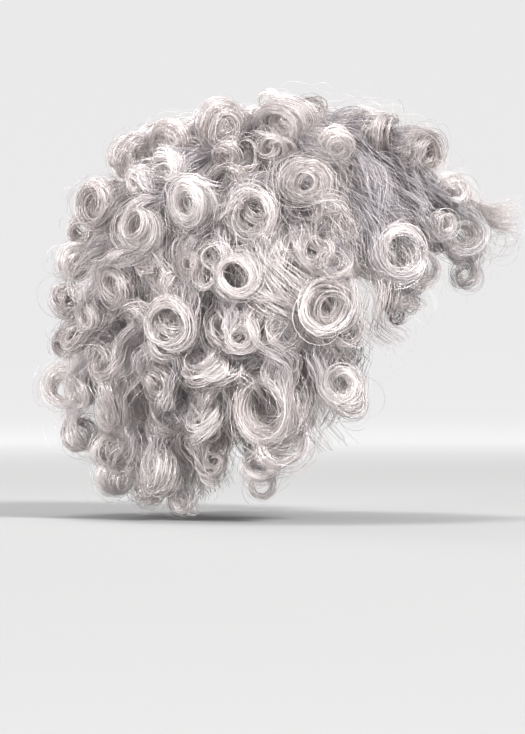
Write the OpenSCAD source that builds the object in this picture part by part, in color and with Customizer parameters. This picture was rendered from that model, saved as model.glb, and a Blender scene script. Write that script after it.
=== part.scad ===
// Short curly wig: a stretch cap with sewn wefts, and curled locks of hair around it.
// Millimetres. The wig faces -Y, the wearer's left is +X and the top is +Z.
// The origin is the centre of the head opening, on the level where the head is widest.

/* [Head form] */
// Half the width of the head that the cap is cut for
head_rx = 77; // [72:1:82]
// Half the length of the head, forehead to back
head_ry = 96; // [90:1:102]
// Height of the crown over the widest level
head_rz = 99; // [93:1:105]

/* [Cap] */
// Thickness of the lace and stretch panels
cap_t = 0.5; // [0.4:0.1:0.8]
// Thickness of tapes, linings and elastics on the inside
lining_t = 0.5; // [0.3:0.1:0.6]
// Polar angle of the crown panel's rim
crown_pol = 37.5; // [30:7.5:45]
// Width of the front lace, as a polar angle
lace_pol = 15; // [10:1:20]
// Width of the nape panel, as a polar angle
nape_pol = 15; // [10:1:20]

/* [Ear tabs] */
// Azimuth of the middle of each ear tab
tab_az = 90; // [85:1:95]
// Half the width of an ear tab, as an azimuth
tab_half = 10.5; // [8:0.5:12]
// Length of an ear tab, as a polar angle
tab_len = 15; // [12:1:18]

/* [Adjusters] */
// Width of each adjuster strap
strap_w = 8; // [6:0.5:9]
// Thickness of each adjuster strap
strap_t = 0.8; // [0.6:0.1:1]
// Arc that one strap covers, in degrees round the nape
strap_arc = 46; // [40:1:48]

/* [Hair] */
// Part of a lock's radius that its solid barrel fills
barrel_fill = 0.8; // [0.7:0.01:0.82]
// Depth of the under-hair on top of the head
top_depth = 1.6; // [1.2:0.1:1.8]
// Extra depth of the under-hair at the back
back_depth = 24; // [15:1:26]

/* [Hidden] */

eps = 0.01;
weft_rows = 8;                      // sewn rows round the sides and back, one node each
grid = 7.5;                         // step of the cap's facets, in degrees
cap_off = 1;                        // gap from the head form to the cap's fabric
weft_off = cap_off + cap_t + 0.2;   // inner face of the weft tracks
weft_t = 1.3;                       // thickness of a weft track
weft_pol = 1.2;                     // height of a weft track, as a polar angle
hair_off = weft_off + weft_t + 0.7; // inner face of the under-hair over the wefts
crown_off = cap_off + cap_t + 0.5;  // inner face of the under-hair over the crown panel
front_az = 60;                      // azimuth where the front meets the sides
back_az = 127.5;                    // azimuth where the sides meet the back
tab_gap = 0.5;                      // polar gap between the cap's edge and an ear tab
tab_root = 98;                      // polar angle of the ear tabs' top edge
hair_rows = 8;                      // facet rows of each under-hair patch
curtain_rx = head_rx - 6;           // inner half width of the hair that hangs below the cap
curtain_ry = head_ry - 5;           // inner half length of the same
curtain_az = 75;                    // azimuth where that hair starts
curtain_levels = [-54, -84, -116];  // heights of its facet rows
curtain_depth = 7;                  // its depth at the ears
curtain_back = 16;                  // its extra depth at the back
side_depth = 3;                     // extra depth of the under-hair at the widest level
tape_pol = 6;                       // width of the hairline tape, as a polar angle
binding_pol = 4;                    // width of the bindings over the ears, as a polar angle
rim_pol = 2.4;                      // width of the crown binding, as a polar angle
lining_pol = 11;                    // width of the nape lining, as a polar angle
rib_azimuths = [112, 150, 165, 195, 210, 248];
rib_half = 2;                       // half the width of an elastic rib, as an azimuth
rib_low = 14;                       // polar gap between a rib's end and the cap's edge
label_half = 7;                     // half the width of the care label, as an azimuth
label_pols = [92, 101];             // polar angles of the label's top and bottom edges

// Height of the cap's edge against azimuth, from the front middle to the nape middle
edge_line = [[0, 44], [30, 42], [50, 33], [62, 16], [76, -6], [90, -13], [106, -13],
    [122, -30], [142, -56], [160, -64], [180, -66]];

silver = [0.78, 0.77, 0.78];
silver_light = [0.88, 0.87, 0.88];
silver_dark = [0.5, 0.49, 0.52];
lace = [0.62, 0.6, 0.6];
elastic = [0.3, 0.29, 0.31];
velvet = [0.42, 0.4, 0.42];

// ---------- surfaces ----------

function fold(az) = abs(az) > 180 ? 360 - abs(az) : abs(az);
function edge_pol(az) = acos(lookup(fold(az), edge_line) / head_rz);

// Azimuth 0 is the front, 90 the wearer's left and 180 the back; the polar angle starts at the top.
function head_point(az, pol, off) = [
    (head_rx + off) * sin(pol) * sin(az),
    -(head_ry + off) * sin(pol) * cos(az),
    (head_rz + off) * cos(pol)];

// Depth of the under-hair: thin on top and in front, deep at the back
function backness(az) = pow((1 - cos(az)) / 2, 3);
function hair_depth(az, pol) =
    top_depth + side_depth * pow(sin(pol), 2) + back_depth * pow(sin(pol), 4) * backness(az);
function hair_low(az) = min(edge_pol(az), edge_pol(back_az)) + 1;

// The hair that hangs below the cap's edge at the nape
function curtain_point(az, z, off) = [
    (curtain_rx + off) * sin(az), -(curtain_ry + off) * cos(az), z];

// A closed sheet between two point grids of the same size
module sheet(inner, outer) {
    rows = len(inner);
    cols = len(inner[0]);
    n = rows * cols;
    function at(i, j) = i * cols + j;
    flat_in = [for (row = inner) for (p = row) p];
    flat_out = [for (row = outer) for (p = row) p];
    skin = [for (i = [0:rows - 2]) for (j = [0:cols - 2])
        each [[at(i, j), at(i + 1, j), at(i + 1, j + 1)], [at(i, j), at(i + 1, j + 1), at(i, j + 1)]]];
    rim = concat(
        [for (j = [0:cols - 1]) at(0, j)],
        [for (i = [1:rows - 1]) at(i, cols - 1)],
        [for (j = [cols - 2:-1:0]) at(rows - 1, j)],
        [for (i = [rows - 2:-1:1]) at(i, 0)]);
    m = len(rim);
    // The last half of the rim is split along the other diagonal, so that neighbours meet face to face.
    walls = [for (k = [0:m - 1]) let (a = rim[k], b = rim[(k + 1) % m])
        each k < m / 2 ? [[a, b, b + n], [a, b + n, a + n]] : [[a, b, a + n], [b, b + n, a + n]]];
    polyhedron(
        points = concat(flat_in, flat_out),
        faces = concat(skin, [for (f = skin) [f[2] + n, f[1] + n, f[0] + n]], walls),
        convexity = 6);
}

// Steps from a to b that are no wider than step
function spread(a, b, step) =
    let (n = max(1, ceil((b - a) / step - eps))) [for (i = [0:n]) a + (b - a) * i / n];

// A patch of the cap: from_pol and to_pol are functions of the azimuth
module patch(az0, az1, from_pol, to_pol, off0, off1, step = grid, rows = 1) {
    azs = spread(az0, az1, step);
    function pol(a, k) = from_pol(a) + (to_pol(a) - from_pol(a)) * k / rows;
    sheet(
        [for (k = [0:rows]) [for (a = azs) head_point(a, pol(a, k), off0)]],
        [for (k = [0:rows]) [for (a = azs) head_point(a, pol(a, k), off1)]]);
}

// A patch of under-hair, whose outer face follows the hair's depth
module hair_patch(az0, az1) {
    azs = spread(az0, az1, grid);
    function pol(a, k) = crown_pol + (hair_low(a) - crown_pol) * k / hair_rows;
    sheet(
        [for (k = [0:hair_rows]) [for (a = azs) head_point(a, pol(a, k), hair_off)]],
        [for (k = [0:hair_rows]) [for (a = azs)
            head_point(a, pol(a, k), hair_off + hair_depth(a, pol(a, k)))]]);
}

// A dome over the crown between two offsets, which may depend on azimuth and polar angle
module dome(pol_max, off_in, off_out) {
    rings = [for (k = [1:5]) pol_max * k / 5];
    azs = [for (a = [0:grid:360 - grid]) a];
    cols = len(azs);
    half = 1 + 5 * cols;
    function ring_points(off) = [for (p = rings) for (a = azs) head_point(a, p, off(a, p))];
    function at(k, j) = 1 + k * cols + j % cols;
    top = [for (j = [0:cols - 1]) [0, at(0, j + 1), at(0, j)]];
    side = [for (k = [0:3]) for (j = [0:cols - 1])
        each [[at(k, j), at(k, j + 1), at(k + 1, j + 1)], [at(k, j), at(k + 1, j + 1), at(k + 1, j)]]];
    skin = concat(top, side);
    rim = [for (j = [0:cols - 1]) let (a = at(4, j), b = at(4, j + 1))
        each [[a + half, b + half, b], [a + half, b, a]]];
    polyhedron(
        points = concat([head_point(0, 0, off_in(0, 0))], ring_points(off_in),
            [head_point(0, 0, off_out(0, 0))], ring_points(off_out)),
        faces = concat([for (f = skin) [f[2], f[1], f[0]]], [for (f = skin) [for (i = f) i + half]], rim),
        convexity = 4);
}

// ---------- cap ----------

crown_rim = function(a) crown_pol;
cap_edge = function(a) edge_pol(a);
lace_top = function(a) edge_pol(a) - lace_pol;
nape_top = function(a) edge_pol(a) - nape_pol;

module crown_panel() {
    color(lace) dome(crown_pol, function(a, p) cap_off, function(a, p) cap_off + cap_t);
}

module crown_binding() {
    rim = function(a) crown_pol - rim_pol;
    color(velvet) for (start = [-90, 90])
        patch(start + eps, start + 180 - eps, rim, crown_rim, 0, lining_t);
}

module front_panel() {
    color(lace) patch(-front_az, front_az, crown_rim, lace_top, cap_off, cap_off + cap_t, grid, 2);
}

module front_lace() {
    color(lace) patch(-front_az, front_az, lace_top, cap_edge, cap_off, cap_off + cap_t, grid, 2);
}

module hairline_tape() {
    top = function(a) edge_pol(a) - tape_pol;
    color(velvet) patch(-front_az, front_az, top, cap_edge, 0, lining_t);
}

// Side s is 1 for the wearer's left and -1 for the right
module side_panel(s) {
    color(elastic) patch(min(s * front_az, s * back_az), max(s * front_az, s * back_az),
        crown_rim, cap_edge, cap_off, cap_off + cap_t, grid, 11);
}

module back_panel() {
    color(elastic) patch(back_az, 360 - back_az, crown_rim, nape_top, cap_off, cap_off + cap_t, grid, 12);
}

module nape_panel() {
    color(velvet) patch(back_az, 360 - back_az, nape_top, cap_edge, cap_off, cap_off + cap_t, grid, 3);
}

module nape_lining() {
    top = function(a) edge_pol(a) - lining_pol;
    color(velvet) patch(back_az + grid, 360 - grid - back_az, top, cap_edge, 0, lining_t, grid, 3);
}

module edge_binding(s) {
    top = function(a) edge_pol(a) - binding_pol;
    a = s * (front_az + grid);
    b = s * (back_az - grid);
    color(velvet) patch(min(a, b), max(a, b), top, cap_edge, 0, lining_t);
}

module elastic_ribs() {
    top = function(a) crown_pol + 1;
    low = function(a) edge_pol(a) - rib_low;
    color(elastic) for (az = rib_azimuths)
        patch(az - rib_half, az + rib_half, top, low, 0, lining_t, 2 * rib_half, 8);
}

module care_label() {
    top = function(a) label_pols[0];
    low = function(a) label_pols[1];
    color("white") patch(180 - label_half, 180 + label_half, top, low, 0, lining_t, 4);
}

// ---------- ear tabs ----------

function tab_tip(a, s, half) = tab_root + tab_len * sqrt(max(0.05, 1 - pow((a - s * tab_az) / half, 2)));

module ear_tab(s) {
    root = function(a) tab_root + tab_gap;
    tip = function(a) tab_tip(a, s, tab_half + 1);
    color(velvet)
        patch(s * tab_az - tab_half, s * tab_az + tab_half, root, tip, cap_off, cap_off + cap_t, 2.1, 4);
}

module ear_stay(s) {
    root = function(a) tab_root + 2;
    tip = function(a) tab_root + tab_len - 3;
    color("dimgray") patch(s * tab_az - 1.6, s * tab_az + 1.6, root, tip, cap_off - 0.7, cap_off - 0.2, 2, 4);
}

// ---------- nape adjusters, which slide round a vertical axis behind the head ----------

strap_z = -52;                                     // middle height of the straps
strap_level = sqrt(1 - pow(strap_z / head_rz, 2)); // shrink of the head's outline at that level
slide_r = head_rx * head_rx / head_ry * strap_level; // radius of the nape's curve
slide_y = head_ry * strap_level - slide_r;         // centre of the slide, on the Y axis
nape_slope = 0.6;                                  // run of the nape inwards for each step down
strap_depth = 1.5;                                 // depth of the strap's outer face inside the lining
strap_start = 14;                                  // angle of the strap's free end off the nape's middle
casing_arc = [32, 52];                             // angles of the casing's two ends
hook_arc = [14.5, 20];                             // angles of the hook's two ends
hook_slot = [15.8, 18.7];                          // angles of the slot in the hook
loop_start = 2;                                    // angle of the first loop
loop_step = 4;                                     // angle between loops
loop_arc = 1.6;                                    // arc of a loop

// A slanted strip swept round the slide's axis, from angle a0 to a1 off the nape's middle
module strip(a0, a1, depth, t, w) {
    translate([0, slide_y, 0]) rotate([0, 0, 90 + a0]) rotate_extrude(angle = a1 - a0, $fn = 180)
        strip_profile(depth, t, w);
}

module strip_profile(depth, t, w) {
    polygon([
        [slide_r - depth - t - nape_slope * w / 2, strap_z - w / 2],
        [slide_r - depth - nape_slope * w / 2, strap_z - w / 2],
        [slide_r - depth + nape_slope * w / 2, strap_z + w / 2],
        [slide_r - depth - t + nape_slope * w / 2, strap_z + w / 2]]);
}

// Side s is 1 for the wearer's left, where the angle runs towards +X
module on_side(s) {
    if (s > 0) mirror([1, 0, 0]) children();
    else children();
}

module adjuster_strap(s) {
    color(elastic) on_side(s) strip(strap_start, strap_start + strap_arc, strap_depth, strap_t, strap_w);
}

module adjuster_casing(s) {
    wall = 0.4;
    gap = 0.35;
    depth = strap_depth - wall - gap;
    color(velvet) on_side(s) difference() {
        strip(casing_arc[0], casing_arc[1], depth, strap_t + 2 * (wall + gap), strap_w + 2 * (wall + gap) + 1);
        strip(casing_arc[0] - 1, casing_arc[1] + 1, depth + wall, strap_t + 2 * gap, strap_w + 2 * gap);
    }
}

module adjuster_hook(s) {
    hook_t = 0.7;
    bar = 1.5;
    color("dimgray") on_side(s) difference() {
        strip(hook_arc[0], hook_arc[1], strap_depth + strap_t + eps, hook_t, strap_w - 1);
        strip(hook_slot[0], hook_slot[1], strap_depth + strap_t - 1, hook_t + 2, strap_w - 1 - 2 * bar);
    }
}

module adjuster_loops() {
    loop_t = 0.4;
    color(elastic) for (s = [-1, 1]) for (k = [0:2]) let (a = loop_start + loop_step * k)
        on_side(s) strip(a, a + loop_arc, strap_depth - 0.75, loop_t, strap_w + 2);
}

// ---------- wefts ----------

module weft(k) {
    function row_pol(a) = crown_pol + 2 + (edge_pol(a) - crown_pol - 5) * k / weft_rows;
    top = function(a) row_pol(a) - weft_pol / 2;
    low = function(a) row_pol(a) + weft_pol / 2;
    color(elastic) patch(front_az + grid, 360 - front_az - grid, top, low, weft_off, weft_off + weft_t);
}

// ---------- under-hair ----------

module under_hair_crown() {
    color(silver_dark) dome(crown_pol, function(a, p) crown_off, function(a, p) hair_off + hair_depth(a, p));
}

module under_hair_front() {
    color(silver_dark) hair_patch(-front_az, front_az);
}

module under_hair_side(s) {
    color(silver_dark) hair_patch(min(s * front_az, s * back_az), max(s * front_az, s * back_az));
}

module under_hair_back() {
    color(silver_dark) hair_patch(back_az, 360 - back_az);
}

module under_hair_nape() {
    azs = spread(curtain_az, 360 - curtain_az, grid);
    function depth(a) = curtain_depth + curtain_back * backness(a);
    color(silver_dark) sheet(
        [for (z = curtain_levels) [for (a = azs) curtain_point(a, z, 0)]],
        [for (z = curtain_levels) [for (a = azs) curtain_point(a, z, depth(a))]]);
}

// ---------- curls ----------

// One curled lock as a hollow barrel. Its row is [x, y, z, radius, bore, width, yaw, tilt]:
// bore is a share of the radius. The axis lies along X, then tilt raises its +X end and yaw turns it about Z.
module curl(c) {
    r = c[3] * barrel_fill;
    bore = r * c[4];
    half = c[5] / 2;
    soft = min(2, (r - bore) / 4);
    translate([c[0], c[1], c[2]]) rotate([0, 0, c[6]]) rotate([0, 90 - c[7], 0])
        rotate_extrude($fn = 48) polygon([
            [bore, -half], [r - soft, -half], [r, soft - half],
            [r, half - soft], [r - soft, half], [bore, half]]);
}

module curls(list, tone = silver) {
    color(tone) for (c = list) curl(c);
}

// The same curls on the wearer's left, each shifted a little so that the sides aren't twins
function left_of(list) = [for (i = [0:len(list) - 1]) let (c = list[i])
    [-c[0], c[1] + 2 * sin(137 * i), c[2] + 2 * cos(101 * i), c[3], c[4], c[5],
        -c[6] + 16 * sin(73 * i), -c[7] + 12 * cos(59 * i)]];

right_upper = [
    [-90, -3, 59, 20, 0.45, 18, 6, 16],
    [-95, 34, 37, 20, 0.62, 14, -8, 8],
    [-85, 75, 47, 20, 0.5, 18, -22, 14],
    [-69, 110, 28, 21, 0.4, 17, -38, -6],
    [-64, 88, 73, 14, 0.4, 16, -30, 24],
    [-56, 112, 62, 13, 0.35, 14, -50, 10]];
right_middle = [
    [-100, -8, 14, 17, 0.5, 14, 4, -6],
    [-102, -17, -23, 23, 0.45, 14, 8, 0],
    [-104, 43, -3, 20, 0.55, 14, -6, -8],
    [-96, 75, 6, 13, 0.4, 14, -24, 10],
    [-91, 87, -34, 20, 0.72, 14, -20, 0],
    [-74, 123, -10, 18, 0.45, 16, -42, 12],
    [-105, 14, -46, 13, 0.6, 12, 4, 6],
    [-105, 40, -43, 13, 0.4, 13, -10, -12]];
right_lower = [
    [-95, 24, -91, 28, 0.5, 16, -4, -6],
    [-88, -26, -76, 18, 0.42, 14, 14, -6],
    [-98, 61, -62, 16, 0.35, 16, -38, -44],
    [-84, 64, -98, 15, 0.35, 16, -58, -24],
    [-80, 97, -74, 14, 0.35, 14, -46, 14],
    [-64, 95, -131, 18, 0.35, 18, -66, -10],
    [-66, 60, -128, 13, 0.4, 14, -14, -16],
    [-74, 28, -130, 13, 0.66, 9, -8, -14]];
right_temple = [
    [-78, -64, 14, 25, 0.55, 12, 30, 0],
    [-66, -67, -18, 10, 0.5, 10, 30, -8]];

top_rolls = [
    [-48, 10, 107, 18, 0.45, 24, -28, 22],
    [-42, 52, 103, 18, 0.42, 24, 32, 20],
    [-36, 90, 94, 17, 0.4, 22, -42, 14],
    [-68, 50, 79, 12, 0.4, 13, -10, 34],
    [-70, 18, 84, 12, 0.4, 13, 0, 38]];
mid_rolls = [
    [0, 74, 102, 14, 0.4, 20, 38, 0],
    [0, 31, 112, 12, 0.4, 24, -30, 0],
    [0, -8, 115, 10, 0.4, 24, 34, 0]];
front_side_rolls = [
    [-37, -52, 99, 17, 0.42, 22, 58, 10],
    [-34, -82, 82, 17, 0.42, 20, 50, 10],
    [-66, -22, 87, 14, 0.4, 14, 10, 36]];
front_mid_rolls = [
    [0, -46, 109, 12, 0.4, 22, -36, 0],
    [0, -86, 86, 16, 0.42, 18, 32, 0]];

fringe_side = [
    [-28, -110, 26, 17, 0.42, 16, 16, 0],
    [-30, -102, 57, 14, 0.4, 16, 20, 12],
    [-50, -93, 32, 13, 0.4, 12, 38, 8]];
fringe_mid = [
    [0, -116, 18, 15, 0.42, 16, 6, 0],
    [0, -108, 50, 15, 0.4, 18, 24, 0],
    [-22, -112, 3, 10, 0.6, 10, 10, 0],
    [17, -114, 0, 11, 0.5, 10, -14, 0]];

back_side_upper = [
    [-31, 136, 48, 20, 0.42, 22, -46, 8],
    [-25, 118, 80, 16, 0.4, 20, 52, 6]];
back_mid_upper = [
    [0, 104, 90, 14, 0.4, 14, 50, 0],
    [0, 150, 30, 13, 0.4, 18, -34, 14]];
back_side_middle = [
    [-25, 157, 8, 14, 0.4, 18, 48, 18],
    [-34, 153, -42, 14, 0.45, 16, -48, -24],
    [-58, 143, -30, 12, 0.4, 14, -50, 8],
    [-61, 133, -60, 18, 0.45, 16, -46, 10]];
back_mid_middle = [
    [0, 159, -18, 15, 0.4, 20, 34, -20],
    [0, 161, -48, 14, 0.4, 18, -30, 28]];
back_side_lower = [
    [-50, 128, -92, 18, 0.3, 18, -58, 14],
    [-27, 151, -80, 15, 0.4, 16, -60, 20],
    [-32, 130, -118, 16, 0.4, 18, 30, 24]];
back_mid_lower = [
    [2, 162, -76, 18, 0.5, 14, -18, -14],
    [0, 150, -110, 17, 0.4, 20, 46, -14]];
nape_side = [
    [-28, 106, -146, 15, 0.4, 20, -50, 8],
    [-52, 82, -154, 10, 0.4, 14, -20, 10]];
nape_mid = [
    [0, 128, -140, 16, 0.4, 20, 38, 10],
    [0, 98, -138, 13, 0.4, 18, -30, 0]];

module fringe_tips() {
    // Straight pointed ends that stand out from the fringe: [x, y, z, length, yaw, rise]
    tips = [[-14, -130, 36, 20, -8, 22], [-6, -132, 28, 16, 4, 4], [10, -130, 34, 18, 12, 16]];
    color(silver_light) for (t = tips)
        translate([t[0], t[1], t[2]]) rotate([90 - t[5], 0, t[4]])
            cylinder(h = t[3], r1 = 3.4, r2 = 0.8, $fn = 24);
}

module fringe_curls() { curls(concat(fringe_side, left_of(fringe_side), fringe_mid), silver_light); }
module front_rolls() { curls(concat(front_side_rolls, left_of(front_side_rolls), front_mid_rolls)); }
module crown_rolls() { curls(concat(top_rolls, left_of(top_rolls), mid_rolls)); }
module temple_curls(s) { curls(s > 0 ? left_of(right_temple) : right_temple, silver_light); }
module side_upper_curls(s) { curls(s > 0 ? left_of(right_upper) : right_upper, silver_light); }
module side_middle_curls(s) { curls(s > 0 ? left_of(right_middle) : right_middle); }
module side_lower_curls(s) { curls(s > 0 ? left_of(right_lower) : right_lower, silver_light); }
module back_upper_curls() { curls(concat(back_side_upper, left_of(back_side_upper), back_mid_upper)); }
module back_middle_curls() { curls(concat(back_side_middle, left_of(back_side_middle), back_mid_middle)); }
module back_lower_curls() { curls(concat(back_side_lower, left_of(back_side_lower), back_mid_lower)); }
module nape_curls() { curls(concat(nape_side, left_of(nape_side), nape_mid), silver_dark); }

// ---------- assembly ----------

crown_panel();
crown_binding();
front_panel();
front_lace();
hairline_tape();
side_panel(1);  // side_panel_left
side_panel(-1);  // side_panel_right
back_panel();
nape_panel();
nape_lining();
edge_binding(1);  // edge_binding_left
edge_binding(-1);  // edge_binding_right
elastic_ribs();
care_label();
ear_tab(1);  // ear_tab_left
ear_tab(-1);  // ear_tab_right
ear_stay(1);  // ear_stay_left
ear_stay(-1);  // ear_stay_right
adjuster_casing(1);  // adjuster_casing_left
adjuster_casing(-1);  // adjuster_casing_right
adjuster_strap(1);  // adjuster_strap_left
adjuster_strap(-1);  // adjuster_strap_right
adjuster_hook(1);  // adjuster_hook_left
adjuster_hook(-1);  // adjuster_hook_right
adjuster_loops();
for (k = [1:weft_rows]) weft(k);
under_hair_front();
under_hair_crown();
under_hair_side(1);  // under_hair_left
under_hair_side(-1);  // under_hair_right
under_hair_back();
under_hair_nape();
fringe_curls();
fringe_tips();
front_rolls();
crown_rolls();
temple_curls(1);  // temple_curls_left
temple_curls(-1);  // temple_curls_right
side_upper_curls(1);  // side_upper_curls_left
side_upper_curls(-1);  // side_upper_curls_right
side_middle_curls(1);  // side_middle_curls_left
side_middle_curls(-1);  // side_middle_curls_right
side_lower_curls(1);  // side_lower_curls_left
side_lower_curls(-1);  // side_lower_curls_right
back_upper_curls();
back_middle_curls();
back_lower_curls();
nape_curls();
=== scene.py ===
"""Short curly wig: a stretch cap with sewn wefts, covered with curled locks made of fine strands.

Metres, in the frame of the CAD model: the wig faces -Y, the wearer's left is +X and the top is +Z.
"""
import math

import bmesh
import bpy
import numpy as np
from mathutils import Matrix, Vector


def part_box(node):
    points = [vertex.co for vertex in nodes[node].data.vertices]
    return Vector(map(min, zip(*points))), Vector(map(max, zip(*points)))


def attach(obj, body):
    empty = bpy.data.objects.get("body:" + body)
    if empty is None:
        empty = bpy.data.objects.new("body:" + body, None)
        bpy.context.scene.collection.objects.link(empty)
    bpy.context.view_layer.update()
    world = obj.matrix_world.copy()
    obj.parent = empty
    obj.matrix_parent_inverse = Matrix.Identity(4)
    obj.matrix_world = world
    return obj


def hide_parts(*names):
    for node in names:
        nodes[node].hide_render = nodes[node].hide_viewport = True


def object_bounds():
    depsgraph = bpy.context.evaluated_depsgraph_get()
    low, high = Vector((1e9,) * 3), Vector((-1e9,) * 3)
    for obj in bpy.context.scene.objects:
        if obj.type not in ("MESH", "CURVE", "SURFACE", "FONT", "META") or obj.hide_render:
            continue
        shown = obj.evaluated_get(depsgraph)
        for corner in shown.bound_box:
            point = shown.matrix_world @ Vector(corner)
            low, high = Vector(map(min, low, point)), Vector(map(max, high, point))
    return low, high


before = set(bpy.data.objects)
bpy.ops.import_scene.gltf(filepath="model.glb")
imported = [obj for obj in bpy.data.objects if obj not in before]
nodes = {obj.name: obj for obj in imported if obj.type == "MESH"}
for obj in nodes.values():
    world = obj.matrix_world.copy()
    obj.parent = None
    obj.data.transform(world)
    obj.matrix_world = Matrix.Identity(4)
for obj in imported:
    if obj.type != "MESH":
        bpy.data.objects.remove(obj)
cad_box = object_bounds()

MM = 0.001
ROOT = "cap_and_hair"

# The head form that the cap is cut for: half its width, half its length and its height over the origin
HEAD = np.array([77.0, 96.0, 99.0]) * MM
WHORL = np.array([0.0, 45.0, 85.0]) * MM     # where the hair parts on the crown
WEFT_TOP = 3 * MM                            # outer face of the weft tracks over the head form
UP = np.array([0.0, 0.0, 1.0])

# Height of the cap's edge, in mm, against azimuth from the front middle to the nape middle
EDGE_AZ = [0, 30, 50, 62, 76, 90, 106, 122, 142, 160, 180]
EDGE_Z = [44, 42, 33, 16, -6, -13, -13, -30, -56, -64, -66]

HAIR_SIDES = 3                               # sides of a strand's tube
STRAND = 0.17 * MM                           # radius of a strand
PIECE_LIMIT = 190000                         # most triangles in one piece of hair


# ---------- camera, light and floor ----------

VIEW_DISTANCE = 2.6
VIEW_CENTRE = Vector((0.0, 0.0266, -0.0635))
VIEW_HEIGHT = 0.506                          # height that the picture covers at the middle of the wig
FLOOR_Z = cad_box[0].z - 0.004


def make_camera():
    """The right side of the wig, level, from far enough away for a flat perspective."""
    data = bpy.data.cameras.new("camera")
    data.sensor_width = 36.0
    data.lens = data.sensor_width * VIEW_DISTANCE / VIEW_HEIGHT
    data.clip_end = 50.0
    camera = bpy.data.objects.new("camera", data)
    bpy.context.collection.objects.link(camera)
    camera.location = VIEW_CENTRE + Vector((-VIEW_DISTANCE, 0.0, 0.0))
    camera.rotation_euler = (math.radians(90), 0.0, math.radians(-90))
    bpy.context.scene.camera = camera


def area_light(name, place, size, power):
    data = bpy.data.lights.new(name, "AREA")
    data.shape = "DISK"
    data.size = size
    data.energy = power
    light = bpy.data.objects.new(name, data)
    bpy.context.collection.objects.link(light)
    light.location = place
    light.rotation_euler = (-Vector(place)).to_track_quat("-Z", "Y").to_euler()


def make_lights():
    area_light("key", (-2.6, -2.4, 3.2), 1.1, 420)
    area_light("fill", (-3.4, 3.2, 0.15), 1.8, 380)
    area_light("top", (0.4, 0.4, 3.8), 1.2, 144)
    area_light("rim", (2.8, 1.8, 1.8), 2.0, 64)
    world = bpy.data.worlds.new("studio")
    bpy.context.scene.world = world
    world.use_nodes = True
    background = world.node_tree.nodes["Background"]
    background.inputs["Color"].default_value = (0.98, 0.97, 0.965, 1.0)
    background.inputs["Strength"].default_value = 0.8
    bpy.context.scene.view_settings.view_transform = "Standard"


def make_floor():
    """A wide pale floor that sweeps up into a low wall far behind."""
    flat = 5.0
    bend = 3.0
    rings = [(r, 0.0) for r in (0.02, 1.0, 3.0, flat)]
    rings += [(flat + bend * math.sin(a), bend * (1 - math.cos(a))) for a in np.linspace(0.1, 1.5, 12)]
    steps = 96
    verts = []
    for radius, height in rings:
        for k in range(steps):
            turn = 2 * math.pi * k / steps
            verts.append((radius * math.cos(turn), radius * math.sin(turn), FLOOR_Z + height))
    faces = [list(range(steps))]
    for i in range(len(rings) - 1):
        for k in range(steps):
            a, b = i * steps + k, i * steps + (k + 1) % steps
            faces.append([a, a + steps, b + steps, b])
    mesh = bpy.data.meshes.new("floor")
    mesh.from_pydata(verts, [], faces)
    mesh.polygons.foreach_set("use_smooth", [True] * len(faces))
    floor = bpy.data.objects.new("floor", mesh)
    bpy.context.collection.objects.link(floor)
    mesh.materials.append(floor_material())


def floor_material():
    """Pale and matt, darker away from the wig, with a faint glow far off to even out the backdrop."""
    material, shader = new_material("pale_floor", roughness=0.95, specular_ior_level=0.2)
    shader.inputs["Emission Color"].default_value = (0.98, 0.97, 0.975, 1.0)
    link = material.node_tree.links.new
    place = node_of(material, "ShaderNodeTexCoord")
    distance = node_of(material, "ShaderNodeVectorMath", operation="LENGTH")
    link(place.outputs["Object"], distance.inputs[0])
    for target, near, far, start, end in (("Base Color", 0.1, 2.4, 0.24, 0.06),
                                          ("Emission Strength", 0.3, 2.8, 0.0, 0.76)):
        change = node_of(material, "ShaderNodeMapRange", interpolation_type="SMOOTHSTEP")
        for socket, value in (("From Min", near), ("From Max", far), ("To Min", start), ("To Max", end)):
            change.inputs[socket].default_value = value
        link(distance.outputs["Value"], change.inputs["Value"])
        link(change.outputs["Result"], shader.inputs[target])
    return material


# ---------- materials ----------


def new_material(name, **sockets):
    """A Principled material whose even values sit on the shader's own sockets."""
    material = bpy.data.materials.new(name)
    material.use_nodes = True
    shader = material.node_tree.nodes["Principled BSDF"]
    for key, value in sockets.items():
        shader.inputs[key.replace("_", " ").title().replace("Ior", "IOR")].default_value = value
    return material, shader


def node_of(material, kind, **settings):
    made = material.node_tree.nodes.new(kind)
    for key, value in settings.items():
        if key in made.inputs:
            made.inputs[key].default_value = value
        else:
            setattr(made, key, value)
    return made


def ramp(material, stops):
    made = material.node_tree.nodes.new("ShaderNodeValToRGB")
    elements = made.color_ramp.elements
    while len(elements) < len(stops):
        elements.new(0.5)
    for element, (place, colour) in zip(elements, stops):
        element.position = place
        element.color = (*colour, 1.0)
    return made


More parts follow.
